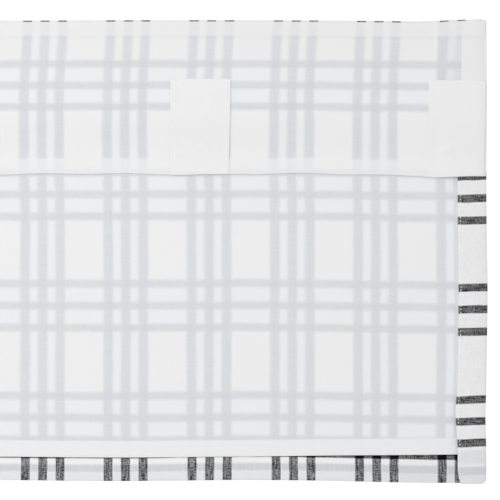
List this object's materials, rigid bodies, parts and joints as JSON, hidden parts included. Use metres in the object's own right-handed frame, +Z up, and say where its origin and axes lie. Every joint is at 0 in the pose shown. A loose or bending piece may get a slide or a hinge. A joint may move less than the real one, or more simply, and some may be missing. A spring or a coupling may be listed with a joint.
{
  "type": "lined window valance with a rod pocket and back tabs, its top edge the mount (no rod)",
  "caption": "Lined plaid window valance, hung flat, with a rod pocket band and cloth back tabs across the top of its back.",
  "frame": {"origin": "middle of the top edge, at the mount top_edge", "axes": "+X along the valance's width, +Z up, +Y out of the plaid face towards the room; the lined back with the band and tabs faces -Y"},
  "size_m": [1.524, 0.0214, 0.3844],
  "materials": {
    "plaid_cotton": "matt woven cotton, white with charcoal triple stripes both ways",
    "white_lining": "matt plain-woven white lining, thin enough for the plaid to show through softly",
    "white_facing": "matt plain-woven white cotton, thin enough for the plaid to show through softly"
  },
  "bodies": {
    "root": {"face_cloth": "plaid_cotton", "lining": "white_lining", "pocket_band": "white_facing", "tab_1": "white_facing", "tab_2": "white_facing", "tab_3": "white_facing", "tab_4": "white_facing", "tab_5": "white_facing", "tab_6": "white_facing", "tab_7": "white_facing", "tab_8": "white_facing"}
  },
  "joints": []
}
